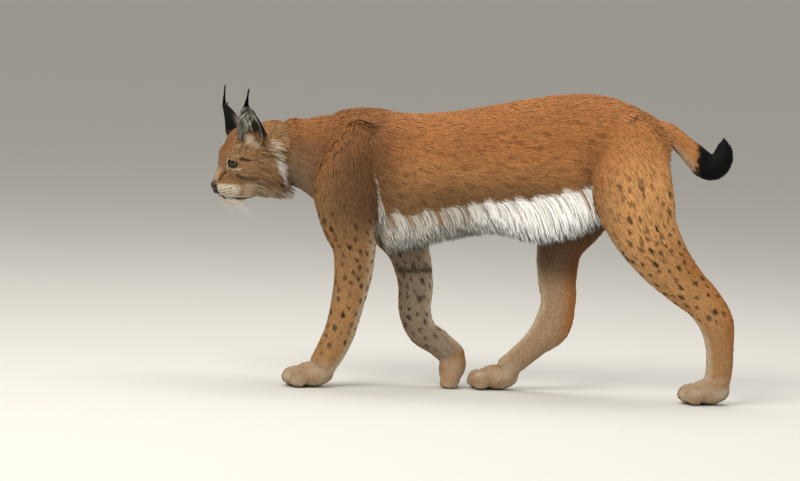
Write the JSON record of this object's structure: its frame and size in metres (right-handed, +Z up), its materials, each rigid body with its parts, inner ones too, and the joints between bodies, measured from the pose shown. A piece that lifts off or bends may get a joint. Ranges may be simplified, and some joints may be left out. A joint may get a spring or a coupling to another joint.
{
  "type": "eurasian lynx",
  "caption": "Life-size still model of a walking Eurasian lynx: short black-ended tail, long legs, broad paws, cheek ruff, tufted ears and long white belly hair.",
  "frame": {"origin": "on the floor, under the middle of the animal's bounds", "axes": "+X to the tail, -X the way the lynx walks, +Y its right side, +Z up"},
  "size_m": [1.1648, 0.2292, 0.6725],
  "materials": {
    "coat": "matt fur, reddish tan with dark spots and pale underside",
    "black_fur": "matt black fur",
    "nose": "moist bare skin",
    "eye": "clear wet cornea over a yellow-green iris"
  },
  "bodies": {
    "root": {"head": "coat", "eye_left": "eye", "eye_right": "eye", "ear_left": "coat", "ear_right": "coat", "nose": "nose", "neck": "coat", "torso": "coat", "fore_upper_leg_left": "coat", "fore_lower_leg_left": "coat", "fore_paw_left": "coat", "fore_upper_leg_right": "coat", "fore_lower_leg_right": "coat", "fore_paw_right": "coat", "hind_upper_leg_left": "coat", "hind_lower_leg_left": "coat", "hind_paw_left": "coat", "hind_upper_leg_right": "coat", "hind_lower_leg_right": "coat", "hind_paw_right": "coat", "tail": "coat", "tail_tip": "black_fur"}
  },
  "joints": []
}
